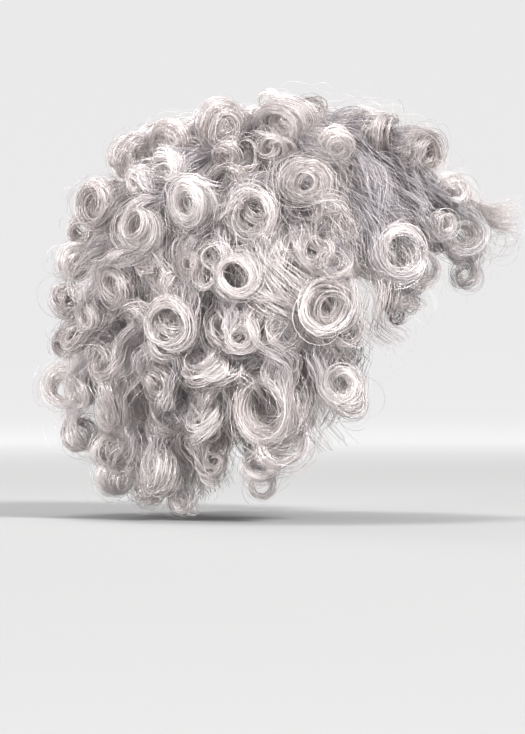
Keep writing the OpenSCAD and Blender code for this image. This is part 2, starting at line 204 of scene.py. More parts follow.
def hair_material(name, dark, mid, light, root_share, root_reach=0.26):
    """Synthetic hair: u carries each strand's tone, v runs from its root to its tip."""
    material, shader = new_material(name, roughness=0.33, metallic=0.3, specular_ior_level=0.8,
                                    coat_weight=0.35, coat_roughness=0.2, sheen_weight=0.1,
                                    sheen_roughness=0.4)
    link = material.node_tree.links.new
    uv = node_of(material, "ShaderNodeUVMap", uv_map="OFBake")
    split = node_of(material, "ShaderNodeSeparateXYZ")
    link(uv.outputs["UV"], split.inputs["Vector"])
    tone = ramp(material, [(0.0, dark), (0.45, mid), (1.0, light)])
    link(split.outputs["X"], tone.inputs["Fac"])
    roots = (root_share, root_share * 0.99, root_share * 1.12)
    along = ramp(material, [(0.0, roots), (root_reach * 0.6, tuple(0.6 * c + 0.2 for c in roots)),
                            (root_reach, (0.85, 0.84, 0.87)), (root_reach + 0.3, (1.0, 0.99, 0.99)),
                            (1.0, (1.1, 1.09, 1.08))])
    link(split.outputs["Y"], along.inputs["Fac"])
    stretch = node_of(material, "ShaderNodeMapping")
    stretch.inputs["Scale"].default_value = (90.0, 7.0, 1.0)
    link(uv.outputs["UV"], stretch.inputs["Vector"])
    streaks = node_of(material, "ShaderNodeTexNoise", Scale=1.0, Detail=3.0, Roughness=0.6)
    link(stretch.outputs["Vector"], streaks.inputs["Vector"])
    uneven = ramp(material, [(0.3, (0.84, 0.83, 0.84)), (0.7, (1.06, 1.06, 1.05))])
    link(streaks.outputs["Fac"], uneven.inputs["Fac"])
    shade = node_of(material, "ShaderNodeMix", data_type="RGBA", blend_type="MULTIPLY")
    shade.inputs["Factor"].default_value = 1.0
    link(tone.outputs["Color"], shade.inputs[6])
    link(along.outputs["Color"], shade.inputs[7])
    final = node_of(material, "ShaderNodeMix", data_type="RGBA", blend_type="MULTIPLY")
    final.inputs["Factor"].default_value = 1.0
    link(shade.outputs[2], final.inputs[6])
    link(uneven.outputs["Color"], final.inputs[7])
    link(final.outputs[2], shader.inputs["Base Color"])
    return material


def hair_mat_with_painted_shade():
    """The mat of hair close to the cap, seen only in the gaps: streaks that run down from the crown, coloured
    dark as painted shade between the curls.
    """
    material, shader = new_material("hair_mat", roughness=0.5, specular_ior_level=0.4)
    link = material.node_tree.links.new
    uv = node_of(material, "ShaderNodeUVMap", uv_map="OFBake")
    stretch = node_of(material, "ShaderNodeMapping")
    stretch.inputs["Scale"].default_value = (420.0, 14.0, 1.0)
    link(uv.outputs["UV"], stretch.inputs["Vector"])
    streaks = node_of(material, "ShaderNodeTexNoise", Scale=1.0, Detail=4.0, Roughness=0.65, Distortion=0.6)
    link(stretch.outputs["Vector"], streaks.inputs["Vector"])
    # Painted shade: the mat runs from near-black to mid-grey so that the gaps between the curls look shaded;
    # the streaks are the hair's own uneven tone.
    tone = ramp(material, [(0.3, (0.11, 0.1, 0.098)), (0.55, (0.27, 0.248, 0.246)),
                           (0.75, (0.46, 0.435, 0.43))])
    link(streaks.outputs["Fac"], tone.inputs["Fac"])
    link(tone.outputs["Color"], shader.inputs["Base Color"])
    bump = node_of(material, "ShaderNodeBump", Strength=0.6, Distance=0.0008)
    link(streaks.outputs["Fac"], bump.inputs["Height"])
    link(bump.outputs["Normal"], shader.inputs["Normal"])
    return material


WAVE_RATE = 20                               # radians that a wave texture of scale 1 runs through in a metre


def woven_material(name, colour, thread, contrast, depth, **sockets):
    """A net or a weave from two crossed sets of threads, thread metres apart."""
    material, shader = new_material(name, **sockets)
    link = material.node_tree.links.new
    place = node_of(material, "ShaderNodeTexCoord")
    waves = []
    for direction in ("X", "Z"):
        wave = node_of(material, "ShaderNodeTexWave", wave_type="BANDS", bands_direction=direction,
                       wave_profile="SIN", Distortion=0.4, Detail=1.0)
        wave.inputs["Scale"].default_value = 2 * math.pi / (WAVE_RATE * thread)
        link(place.outputs["Object"], wave.inputs["Vector"])
        waves.append(wave)
    crossing = node_of(material, "ShaderNodeMath", operation="MAXIMUM")
    link(waves[0].outputs["Fac"], crossing.inputs[0])
    link(waves[1].outputs["Fac"], crossing.inputs[1])
    low = tuple(c * (1 - contrast) for c in colour)
    tone = ramp(material, [(0.35, low), (0.85, colour)])
    link(crossing.outputs["Value"], tone.inputs["Fac"])
    link(tone.outputs["Color"], shader.inputs["Base Color"])
    bump = node_of(material, "ShaderNodeBump", Strength=0.7, Distance=depth)
    link(crossing.outputs["Value"], bump.inputs["Height"])
    link(bump.outputs["Normal"], shader.inputs["Normal"])
    return material


# ---------- the head form and the flow of the hair ----------


def spread_out(vectors):
    """Vectors scaled to length one."""
    return vectors / np.maximum(np.linalg.norm(vectors, axis=-1, keepdims=True), 1e-9)


def on_head(points, off):
    """Points moved along their rays from the origin onto the head form grown by off."""
    axes = HEAD + np.asarray(off)[..., None]
    return points / np.linalg.norm(points / axes, axis=-1, keepdims=True)


def head_normal(points):
    return spread_out(points / HEAD ** 2)


def azimuth(points):
    """Degrees from the front middle, 0 to 180 on either side."""
    return np.degrees(np.arctan2(np.abs(points[..., 0]) / HEAD[0], -points[..., 1] / HEAD[1]))


def edge_height(points):
    return np.interp(azimuth(points), EDGE_AZ, EDGE_Z) * MM


def hair_depth(points):
    """Depth of the under-hair over the wefts: thin on top and in front, deep at the back."""
    backness = ((1 - np.cos(np.radians(azimuth(points)))) / 2) ** 3
    low = 1 - (points[..., 2] / HEAD[2]) ** 2
    low = np.clip(low, 0, 1)
    return (1.6 + 3 * low + 24 * low ** 2 * backness) * MM


def flow(points):
    """The way the hair is combed: away from the whorl and down the head, straight down below the cap."""
    normal = head_normal(points)
    away = points - WHORL
    away = away + 0.5 * np.linalg.norm(away, axis=-1, keepdims=True) * (-UP)
    away = away - normal * np.sum(away * normal, axis=-1, keepdims=True)
    below = np.clip((-0.04 - points[..., 2:3]) / 0.03, 0, 1)
    return spread_out(spread_out(away) * (1 - below) - UP * below)


def smooth_noise(rng, strands, points, waves):
    """Random smooth curves between about -1 and 1, one row for each strand."""
    along = np.linspace(0, 1, points)[None, :]
    total = np.zeros((strands, points))
    for k in range(1, 4):
        turn = rng.uniform(0, 2 * math.pi, (strands, 1))
        rate = waves * k * rng.uniform(0.7, 1.3, (strands, 1))
        total += np.sin(2 * math.pi * rate * along + turn) / k
    return total / 1.5


# ---------- strands ----------


STRAY_ROOM = 10 * MM                         # how far a strand may stand outside the CAD model's box


def keep_inside(paths):
    """Paths held near the CAD model's box."""
    return np.clip(paths, np.array(cad_box[0]) - STRAY_ROOM, np.array(cad_box[1]) + STRAY_ROOM)


class Strands:
    """Strands gathered for one or more pieces: paths, radii and tones."""

    def __init__(self, avoid=()):
        self.batches = []
        self.avoid = avoid

    def add(self, paths, thickness, tone):
        """paths is (strands, points, 3), tone one value a strand; a strand in an avoided box is left out."""
        thickness = np.broadcast_to(thickness, paths.shape[:2])
        kept = np.ones(len(paths), bool)
        for low, high in self.avoid:
            kept &= ~np.any(np.all((paths > low) & (paths < high), axis=2), axis=1)
        if kept.any():
            self.batches.append((keep_inside(paths[kept]), thickness[kept], tone[kept]))


def triangles_of(batch):
    strands, points, _ = batch[0].shape
    return strands * (2 * HAIR_SIDES * (points - 1) + 2)


def tube_arrays(paths, thickness, tone):
    """Vertices, faces and UVs of closed tubes along the strands."""
    strands, points, _ = paths.shape
    tangent = spread_out(np.gradient(paths, axis=1))
    side = np.empty_like(paths)
    helper = np.where(np.abs(tangent[:, 0, 2:3]) > 0.9, [[1.0, 0.0, 0.0]], [[0.0, 0.0, 1.0]])
    side[:, 0] = spread_out(np.cross(tangent[:, 0], helper))
    for i in range(1, points):
        along = np.sum(side[:, i - 1] * tangent[:, i], axis=1, keepdims=True)
        side[:, i] = spread_out(side[:, i - 1] - tangent[:, i] * along)
    other = np.cross(tangent, side)
    turn = 2 * math.pi * np.arange(HAIR_SIDES) / HAIR_SIDES
    ring = side[:, :, None] * np.cos(turn)[:, None] + other[:, :, None] * np.sin(turn)[:, None]
    verts = (paths[:, :, None] + thickness[:, :, None, None] * ring).reshape(-1, 3)
    s = np.arange(strands)[:, None, None]
    i = np.arange(points - 1)[None, :, None]
    k = np.arange(HAIR_SIDES)[None, None, :]
    here = (s * points + i) * HAIR_SIDES
    after = here + HAIR_SIDES
    following = (k + 1) % HAIR_SIDES
    quads = np.stack([here + k, here + following, after + following, after + k], axis=-1).reshape(-1, 4)
    first = np.arange(strands)[:, None] * points * HAIR_SIDES
    last = first + (points - 1) * HAIR_SIDES
    caps = np.concatenate([first + np.array([0, 2, 1]), last + np.array([0, 1, 2])])
    lane = 1 / 80
    u0 = (tone * (1 - lane))[:, None, None]
    u = np.broadcast_to(u0 + lane * k / HAIR_SIDES, (strands, points - 1, HAIR_SIDES))
    un = u + lane / HAIR_SIDES
    v = np.broadcast_to(i / (points - 1), u.shape)
    vn = v + 1 / (points - 1)
    quad_uv = np.stack([np.stack([u, v], -1), np.stack([un, v], -1), np.stack([un, vn], -1),
                        np.stack([u, vn], -1)], axis=-2).reshape(-1, 2)
    flat = (tone * (1 - lane))[:, None]
    zero = np.zeros((strands, HAIR_SIDES))
    cap_uv = np.concatenate([np.stack([flat + zero, zero], -1), np.stack([flat + zero, zero + 1], -1)])
    return verts, quads, caps, quad_uv, cap_uv.reshape(-1, 2)


def hair_piece(name, batches, material, replaced=()):
    """One mesh of closed tubes, riding on the cap."""
    verts, quads, caps, quad_uv, cap_uv = [], [], [], [], []
    count = 0
    for batch in batches:
        made = tube_arrays(*batch)
        verts.append(made[0])
        quads.append(made[1] + count)
        caps.append(made[2] + count)
        quad_uv.append(made[3])
        cap_uv.append(made[4])
        count += len(made[0])
    verts = np.concatenate(verts)
    quads = np.concatenate(quads)
    caps = np.concatenate(caps)
    mesh = bpy.data.meshes.new(name)
    mesh.vertices.add(len(verts))
    mesh.vertices.foreach_set("co", verts.astype(np.float32).ravel())
    loops = np.concatenate([quads.ravel(), caps.ravel()]).astype(np.int32)
    mesh.loops.add(len(loops))
    mesh.loops.foreach_set("vertex_index", loops)
    starts = np.concatenate([np.arange(len(quads)) * 4, len(quads) * 4 + np.arange(len(caps)) * 3])
    mesh.polygons.add(len(starts))
    mesh.polygons.foreach_set("loop_start", starts.astype(np.int32))
    mesh.polygons.foreach_set("use_smooth", np.ones(len(starts), bool))
    layer = mesh.uv_layers.new(name="OFBake")
    layer.data.foreach_set("uv", np.concatenate(quad_uv + cap_uv).astype(np.float32).ravel())
    mesh.update(calc_edges=True)
    mesh.materials.append(material)
    piece = bpy.data.objects.new(name, mesh)
    bpy.context.collection.objects.link(piece)
    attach(piece, ROOT)
    if replaced:
        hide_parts(*replaced)
    return piece


def hair_pieces(name, strands, material, replaced=()):
    """The strands as one piece, or as several below the limit of triangles."""
    groups, room = [[]], PIECE_LIMIT
    for batch in strands.batches:
        need = triangles_of(batch)
        if need > room:
            groups.append([])
            room = PIECE_LIMIT
        groups[-1].append(batch)
        room -= need
    for k, batches in enumerate(groups):
        label = name if len(groups) == 1 else f"{name}_{k + 1}"
        hair_piece(label, batches, material, replaced if k == 0 else ())


# ---------- curls ----------


def loose_parts(node):
    """The separate solids of a CAD node: vertices, and triangles by vertex number."""
    mesh = nodes[node].data
    mesh.calc_loop_triangles()
    co = np.empty(len(mesh.vertices) * 3)
    mesh.vertices.foreach_get("co", co)
    triangles = np.empty(len(mesh.loop_triangles) * 3, np.int32)
    mesh.loop_triangles.foreach_get("vertices", triangles)
    places, same = np.unique(np.round(co.reshape(-1, 3), 6), axis=0, return_inverse=True)
    triangles = same.reshape(-1)[triangles].reshape(-1, 3)
    label = np.arange(len(places))
    while True:
        low = label[triangles].min(axis=1)
        before = label.copy()
        for corner in range(3):
            np.minimum.at(label, triangles[:, corner], low)
        label = label[label]
        if np.array_equal(before, label):
            break
    for part in np.unique(label[triangles[:, 0]]):
        yield places, triangles[label[triangles[:, 0]] == part]


BARREL_FILL = 0.8                            # share of a lock's radius that its CAD barrel fills


def curls_of(node):
    """Centre, axis, radius, bore share and width of each hollow barrel in a CAD node."""
    found = []
    for places, triangles in loose_parts(node):
        corners = places[triangles]
        cross = np.cross(corners[:, 1] - corners[:, 0], corners[:, 2] - corners[:, 0])
        area = np.linalg.norm(cross, axis=1)
        normals = cross / np.maximum(area, 1e-15)[:, None]
        best = max(range(len(normals)), key=lambda i: area[np.abs(normals @ normals[i]) > 0.9995].sum())
        axis = normals[best]
        if abs(axis[0]) > 0.3 and axis[0] < 0:
            axis = -axis
        points = places[np.unique(triangles)]
        centre = (points.min(axis=0) + points.max(axis=0)) / 2
        offsets = points - centre
        along = offsets @ axis
        centre = centre + axis * (along.max() + along.min()) / 2
        across = np.linalg.norm(offsets - np.outer(along, axis), axis=1)
        radius = across.max() / BARREL_FILL
        found.append((centre, axis, radius, across.min() / across.max(), along.max() - along.min()))
    return found


def root_of(centre, back):
    """Where a lock is sewn to the cap: back metres up the flow from its middle."""
    point = on_head(centre, WEFT_TOP)
    for _ in range(6):
        point = on_head(point - flow(point) * back / 6, WEFT_TOP)
    lowest = edge_height(point) + 6 * MM
    if point[2] < lowest:
        point = on_head(np.array([point[0], point[1], lowest]), WEFT_TOP)
    return point


def bezier(p0, p1, p2, p3, count):
    t = np.linspace(0, 1, count)[None, :, None]
    return ((1 - t) ** 3 * p0[:, None] + 3 * (1 - t) ** 2 * t * p1[:, None]
            + 3 * (1 - t) * t ** 2 * p2[:, None] + t ** 3 * p3[:, None])


OPEN_BORE = 0.41                             # a wider bore share than this makes a ring with a clear opening


def add_curl(strands, rng, curl, count, points, turns=(1.0, 1.9), tone=0.5, back=38 * MM, wild=1.0):
    """One lock: ribbons of strands that leave the cap together and coil round and inside each other."""
    centre, axis, radius, bore, width = curl
    wind = rng.choice([-1, 1])
    root = root_of(centre, back)
    open_side = abs(axis[0]) > 0.8 and abs(centre[0]) > 50 * MM
    if bore > OPEN_BORE:
        ribbons = ((1.0, 0.5), (0.9, 0.36), (1.12, 0.14))
    else:
        ribbons = ((1.0, 0.4), (0.93, 0.27), (0.62, 0.25), (1.14, 0.08))
    full = radius > 19 * MM and bore > OPEN_BORE
    for size, share in ribbons:
        loops = rng.uniform(*turns) * (1.0 if full else rng.choice([1.0, 0.5]))
        outer = radius * size * rng.uniform(0.94, 1.06)
        inner = min(radius * bore * rng.uniform(0.85, 1.15), outer * 0.8)
        apart = 0.2 if size < 0.7 else 0.07
        middle = centre + rng.normal(0, apart * wild, 3) * radius
        turned = spread_out(axis + rng.normal(0, 0.17 * wild, 3))
        if open_side:
            face, twist = rng.uniform(-1.3, 1.3), rng.uniform(-2.6, 2.6)
        else:
            face, twist = rng.uniform(-0.5, 0.5), rng.uniform(-1.2, 1.2)
        ribbon = (middle, turned, outer, inner, width * rng.uniform(0.75, 1.05), face, twist)
        add_ribbon(strands, rng, ribbon, root, wind, max(5, int(count * share)), points,
                   loops, tone, wild)


STEM_BEND = 44 * MM                          # length of one wave in the hair between a root and its curl


def add_ribbon(strands, rng, ribbon, root, wind, count, points, turns, tone, wild):
    """A flat ribbon of strands that sweeps from its root into a ring and twists as it coils inwards."""
    centre, axis, outer, inner, width, face, twist = ribbon
    first = spread_out(np.cross(axis, UP if abs(axis[2]) < 0.9 else np.array([0.0, 1.0, 0.0])))
    second = np.cross(axis, first)
    reach = root - centre
    heading = math.atan2(reach @ second, reach @ first)
    distance = math.hypot(reach @ second, reach @ first)
    start = heading + wind * math.acos(min(1.0, outer / max(distance, 1e-6)))
    stem_points = int(points * np.interp(np.linalg.norm(reach), [20 * MM, 90 * MM], [0.24, 0.44]))
    coil_points = points - stem_points + 1
    t = np.linspace(0, 1, coil_points)[None, :]

    clumps = 6
    clump = rng.integers(clumps, size=count)
    loose = 1 + 2.4 * (rng.random((count, 1)) < 0.14)
    lane = np.clip(0.8 * rng.uniform(-1, 1, clumps)[clump] + 0.35 * rng.uniform(-1, 1, count), -1, 1)[:, None]
    layer = rng.uniform(-1, 1, (count, 1))
    late = rng.uniform(0.72, 1.1, (count, 1))
    phase = (rng.normal(0, 0.22, clumps)[clump] + rng.normal(0, 0.15, count))[:, None]
    angle = start + wind * (phase + 2 * math.pi * turns * late * t)
    facing = face + twist * t
    wide = width * (0.5 - 0.22 * t ** 3)
    thick = 0.1 * outer + 0.6 * MM
    begin = outer * 1.02 - wide[:, :1] * abs(math.sin(face)) * 0.8 - thick
    rho = begin + (inner - begin) * t ** 0.9 * rng.uniform(0.85, 1.1, (count, 1))
    rho = rho + lane * wide * np.sin(facing) + layer * thick * np.cos(facing)
    depth = lane * wide * np.cos(facing) - layer * thick * np.sin(facing)
    rho = np.minimum(rho, outer * 1.04 - 0.06 * outer * np.tanh(outer * 1.04 - rho))
    opening = max(0.16 * outer, 0.78 * inner)
    rho = opening + np.abs(rho - opening)
    oval = rng.uniform(-0.15, 0.15) * wild
    rho = rho * (1 + oval * np.cos(2 * (angle - rng.uniform(0, math.pi))))
    aside = rng.normal(0, 0.028 * wild, (count, 1)) * loose
    rho = rho + outer * aside * np.cos(angle - rng.uniform(0, 2 * math.pi, (count, 1)))
    rho = rho + outer * 0.016 * wild * loose * smooth_noise(rng, count, coil_points, 1.1) * (0.3 + t)
    tilt = (rng.normal(0, 0.05, clumps)[clump] + rng.normal(0, 0.035 * wild, count))[:, None] * loose
    depth = depth + rng.uniform(-0.35, 0.35) * width * (t - 0.5)
    depth = depth + tilt * rho * np.cos(angle - rng.uniform(0, 2 * math.pi, (count, 1)))
    depth = depth + 0.45 * MM * wild * loose * smooth_noise(rng, count, coil_points, 1.6)
    coil = (centre + rho[..., None] * (np.cos(angle)[..., None] * first + np.sin(angle)[..., None] * second)
            + depth[..., None] * axis)

    entry = coil[:, 0]
    heading_in = spread_out(coil[:, 1] - coil[:, 0])
    across = spread_out(np.cross(head_normal(root), flow(root)))
    sideways = lane * max(width * 0.6, 7 * MM) + rng.normal(0, 0.8, (count, 1)) * MM
    roots = on_head(root + across * sideways, WEFT_TOP + rng.uniform(0, 2, count) * MM)
    gap = np.linalg.norm(entry - roots, axis=1, keepdims=True)
    lift = head_normal(roots) * rng.uniform(0.28, 0.48, (count, 1)) + flow(roots) * 0.9
    stem = bezier(roots, roots + lift * gap * 0.38, entry - heading_in * gap * 0.42, entry, stem_points)
    s = np.linspace(0, 1, stem_points)[None, :]
    calm = np.interp(root[2], [0, 40 * MM], [1.0, 0.25])
    swing = np.minimum(0.13 * gap, 8 * MM) * np.sin(math.pi * s) * calm
    bend = rng.uniform(0, 2 * math.pi) + 2 * math.pi * s * gap.mean() / STEM_BEND + 0.5 * lane
    stem = stem + (swing * np.sin(bend))[..., None] * across
    stem = stem + (0.7 * swing * (1 + np.cos(bend)))[..., None] * head_normal(root)
    paths = np.concatenate([stem[:, :-1], coil], axis=1)
    along = np.linspace(0, 1, paths.shape[1])
    shape = STRAND * (0.8 + 0.3 * np.sin(math.pi * along)) * np.where(along > 0.9, 1 - 6 * (along - 0.9), 1)
    thickness = shape[None, :] * rng.uniform(0.75, 1.2, count)[:, None]
    shade = np.clip(tone + 0.12 * rng.normal(0, 1, clumps)[clump] + 0.15 * rng.normal(0, 1, count), 0, 1)
    strands.add(paths, thickness, shade)


def add_veil(strands, rng, curl, count, tone):
    """Fine single hairs that wander round and across a lock's opening."""
    centre, axis, radius, _, width = curl
    points = 22
    t = np.linspace(0, 1, points)[None, :]
    normal = spread_out(axis + rng.normal(0, 0.3, (count, 3)))
    first = spread_out(np.cross(normal, rng.normal(0, 1, (count, 3))))
    second = np.cross(normal, first)
    size = radius * rng.uniform(0.5, 1.22, (count, 1)) * (1 - 0.35 * t * rng.random((count, 1)))
    size = size * (1 + 0.06 * smooth_noise(rng, count, points, 1.0))
    angle = 2 * math.pi * (rng.random((count, 1)) + t * rng.uniform(0.5, 1.2, (count, 1)))
    offset = (first * rng.normal(0, 0.2, (count, 1)) + second * rng.normal(0, 0.2, (count, 1))) * radius
    offset = offset + axis * (width * rng.uniform(-0.5, 0.5, (count, 1)))
    paths = (centre + offset)[:, None] + (size * np.cos(angle))[..., None] * first[:, None]
    paths = paths + (size * np.sin(angle))[..., None] * second[:, None]
    thickness = STRAND * 0.55 * (1 - 0.4 * t)
    strands.add(paths, thickness, np.clip(rng.normal(tone, 0.2, count), 0, 1))


CURL_NODES = ["fringe_curls", "front_rolls", "crown_rolls", "temple_curls_left", "temple_curls_right",
              "side_upper_curls_left", "side_upper_curls_right", "side_middle_curls_left",
              "side_middle_curls_right", "side_lower_curls_left", "side_lower_curls_right",
              "back_upper_curls", "back_middle_curls", "back_lower_curls", "nape_curls"]
LIGHT_NODES = ("fringe", "temple")
STRANDS_PER_MM = 5.2                         # strands in a lock for each millimetre of its radius
TOP_LEVEL = 90 * MM                          # locks with their middle above this level settle a little
TOP_SETTLE = 6 * MM                          # how far they settle
WISP = 11.5 * MM                             # a lock of a smaller radius than this is a thin wisp


def curl_points(radius):
    """Points along a strand: more on the big curls."""
    return int(24 + 0.8 * radius / MM)


def make_curls(silver, light):
    for order, node in enumerate(CURL_NODES):
        rng = np.random.default_rng(100 + order)
        strands = Strands()
        for centre, axis, radius, bore, width in curls_of(node):
            if centre[2] > TOP_LEVEL:
                centre = centre - UP * TOP_SETTLE
            curl = (centre, axis, radius, bore, width)
            count = int(STRANDS_PER_MM * radius / MM)
            # Locks low on the head get a lighter tone: painted light that makes up for the shade they sit in.
            tone = rng.uniform(0.4, 0.72) + 0.12 * (centre[2] < -50 * MM)
            wisp = radius < WISP
            add_curl(strands, rng, curl, int(count * (0.5 if wisp else 1)), curl_points(radius), tone=tone,
                     wild=1.9 if wisp else rng.uniform(0.6, 1.5))
            add_veil(strands, rng, curl, int(1.3 * radius / MM), tone)
        pale = node.startswith(LIGHT_NODES)
        hair_pieces(node.replace("curls", "locks").replace("rolls", "locks"), strands,
                    light if pale else silver, (node,))


def lock_beside(rng, curl):
    """A smaller, looser lock that leans on a curl: below it, and in front of it where it lies by the face."""
    centre, axis, radius, _, width = curl
    down = flow(centre)
    forward = np.cross(head_normal(centre), down) * -np.sign(centre[0])
    if forward[1] > 0:
        forward = -forward
    ahead = rng.uniform(0.3, 0.9) if azimuth(centre) < 88 else rng.uniform(-0.9, 0.9)
    place = centre + (down * rng.uniform(0.45, 1.0) + forward * ahead) * radius
    place = place - head_normal(place) * rng.uniform(0, 5) * MM
    turned = spread_out(axis + 0.35 * rng.normal(0, 1, 3))
    return place, turned, radius * rng.uniform(0.6, 0.88), rng.uniform(0.45, 0.75), width * 0.8


def make_side_locks(light):
    """The looser locks beside the temple and side curls."""
    for order, side in enumerate(("left", "right")):
        rng = np.random.default_rng(150 + order)
        strands = Strands()
        for group in ("temple", "side_middle", "side_lower"):
            for curl in curls_of(f"{group}_curls_{side}"):
                beside = lock_beside(rng, curl)
                add_curl(strands, rng, beside, int(2.7 * beside[2] / MM), curl_points(beside[2]) - 6,
                         turns=(0.7, 1.4), tone=rng.uniform(0.4, 0.65), wild=1.3)
                add_veil(strands, rng, beside, 8, 0.55)
        hair_pieces(f"loose_locks_{side}", strands, light)


def make_fringe_tips(light):
    """Straight pointed ends that stand out from the fringe."""
    rng = np.random.default_rng(200)
    strands = Strands()
    points = 30
    for places, triangles in loose_parts("fringe_tips"):
        cone = places[np.unique(triangles)]
        tip = cone[cone[:, 1] < cone[:, 1].min() + 0.8 * MM].mean(axis=0)
        base = cone[cone[:, 1] > cone[:, 1].max() - 3 * MM].mean(axis=0)
        count = 84
        root = root_of(base + np.array([0, 20 * MM, 10 * MM]), 24 * MM)
        roots = on_head(root + rng.normal(0, 1, (count, 3)) * np.array([8, 3, 3]) * MM, WEFT_TOP)
        along = rng.uniform(-0.25, 1.0, (count, 1))
        ends = tip + (base - tip) * 0.45 * np.clip(along, 0, 1) + rng.normal(0, 3.4, (count, 3)) * MM
        bellies = base + rng.normal(0, 1.6, (count, 3)) * MM
        lift = roots + (head_normal(roots) * 14 + np.array([0, -6, 6])) * MM
        paths = bezier(roots, lift, bellies * 1.4 - ends * 0.4, ends, points)
        wave = smooth_noise(rng, count, points, 0.8)[..., None] * np.array([1.8, 0.9, 2.2]) * MM
        share = np.linspace(0, 1, points)[None, :, None]
        flick = share ** 3 * np.array([0.0, 1.5, 5.0]) * MM * rng.uniform(0.2, 1.4, (count, 1, 1))
        paths = paths + wave * share + flick
        thickness = STRAND * np.linspace(0.95, 0.35, points)[None, :]
        strands.add(paths, thickness, np.clip(rng.normal(0.3, 0.22, count), 0, 1))
        loop = (base * 0.6 + tip * 0.4 - UP * 8 * MM, np.array([1.0, 0.0, 0.0]), 13 * MM, 0.6, 8 * MM)
        add_veil(strands, rng, loop, 9, 0.4)
    hair_pieces("fringe_tips_hair", strands, light, ("fringe_tips",))


# ---------- under-hair, fillers and frizz ----------


def random_roots(rng, count, low=-1.0):
    """Random points of the cap, evenly spread over it."""
    kept = np.zeros((0, 3))
    while len(kept) < count:
        points = on_head(spread_out(rng.normal(0, 1, (count, 3))), np.zeros(count))
        points = points[points[:, 2] > np.maximum(edge_height(points) + 4 * MM, low)]
        kept = np.concatenate([kept, points])
    return kept[:count]


def room_to_edge(roots, beyond):
    """Length of the flow from each root to a little past the cap's edge, for hair in front of the ears."""
    place = on_head(roots, WEFT_TOP)
    length = np.zeros(len(roots))
    inside = np.ones(len(roots), bool)
    step = 3 * MM
    for _ in range(40):
        place = on_head(place + flow(place) * step, WEFT_TOP)
        inside &= (place[:, 2] > edge_height(place)) | (azimuth(place) > 80)
        length += inside * step
    return length + beyond


def combed(rng, roots, length, points, rise, wave, waves=1.0):
    """Strands that follow the flow over the under-hair, rising to its surface, with soft waves."""
    count = len(roots)
    step = (length / (points - 1))[:, None]
    place = on_head(roots, WEFT_TOP)
    paths = np.empty((count, points, 3))
    along = np.linspace(0, 1, points)[None, :]
    together = np.sin(roots @ np.array([75.0, 110.0, 60.0]))[:, None]
    offset = roots @ np.array([[9.0], [7.0], [5.0]])
    shared = np.sin(2 * math.pi * (waves * 1.3 * along + 0.35 * together + offset))
    sway = 0.75 * shared + 0.3 * smooth_noise(rng, count, points, waves)
    turn = 0.28 * together + rng.normal(0, 0.07, count)[:, None]
    for i in range(points):
        share = i / (points - 1)
        normal = head_normal(place)
        across = np.cross(normal, flow(place))
        cover = (hair_depth(place) * min(1, 2.2 * share) + rise * min(1, 1.6 * share))[:, None]
        paths[:, i] = place + normal * cover + across * (sway[:, i:i + 1] * wave * share ** 0.5)
        heading = spread_out(flow(place) + across * (turn + 0.2 * sway[:, i:i + 1]))
        moved = place + heading * step
        held = on_head(moved, WEFT_TOP)
        below = np.clip((-0.045 - moved[:, 2:3]) / 0.02, 0, 1)
        place = held * (1 - below) + moved * below
    return paths


REGIONS = {"front": (0, 74), "side_left": (74, 127.5), "side_right": (74, 127.5), "back": (127.5, 180.1)}


def make_under_hair(root_hair, front_hair):
    rng = np.random.default_rng(300)
    points = 20
    anywhere = random_roots(rng, 3500)
    low = random_roots(rng, 6000)
    low = low[(low[:, 2] < -12 * MM) & (azimuth(low) > 84)]
    upper = random_roots(rng, 3200)
    upper = upper[(azimuth(upper) < 95) & (upper[:, 2] > 20 * MM)]
    roots = np.concatenate([anywhere, low, upper])
    length = rng.uniform(48, 92, len(roots)) * MM
    length = np.minimum(length, room_to_edge(roots, 4 * MM))
    rise = rng.uniform(0.5, 6.5, len(roots)) * MM
    rise = rise + rng.uniform(0, 12, len(roots)) * MM * (azimuth(roots) / 180) ** 2
    wave = np.where(roots[:, 2:3] < 10 * MM, 7.0, 4.6) * MM
    paths = combed(rng, roots, length, points, rise, wave, 1.5)
    thickness = STRAND * 1.25 * np.linspace(1.1, 0.6, points)[None, :]
    patches = 0.12 * np.sin(roots @ np.array([150.0, 190.0, 90.0]))
    tone = np.clip(rng.normal(0.45, 0.2, len(roots)) + patches, 0, 1)
    turn = azimuth(roots)
    for name, (low, high) in REGIONS.items():
        chosen = (turn >= low) & (turn < high)
        if name.endswith("left"):
            chosen &= roots[:, 0] > 0
        if name.endswith("right"):
            chosen &= roots[:, 0] <= 0
        strands = Strands()
        for part in np.array_split(np.flatnonzero(chosen), 4):
            strands.add(paths[part], np.broadcast_to(thickness, (len(part), points)), tone[part])
        material = front_hair if name == "front" else root_hair
        hair_pieces(f"root_strands_{name}", strands, material)


def cap_fillers(rng, count):
    """Middles and radii of loops that stand on the under-hair, with none over the forehead."""
    for point in random_roots(rng, count):
        turn = azimuth(point)
        if turn < 82 and point[2] > 14 * MM:
            continue
        radius = rng.uniform(9, 17) * MM
        room = (21 + 16 * (1 - max(point[2], 0) / HEAD[2])) * MM - radius
        cover = hair_depth(point) + (rng.uniform(2, 11) + rng.uniform(0, 18) * (turn / 180) ** 3) * MM
        down = rng.uniform(0, 12 + 30 * (turn > 84)) * MM
        if turn < 84:
            down = min(down, 0.7 * room_to_edge(point[None], 0)[0])
            cover = min(cover, room)
        elif point[2] > 40 * MM:
            cover = min(cover, room)
        yield on_head(point, WEFT_TOP) + head_normal(point) * cover + flow(point) * down, radius


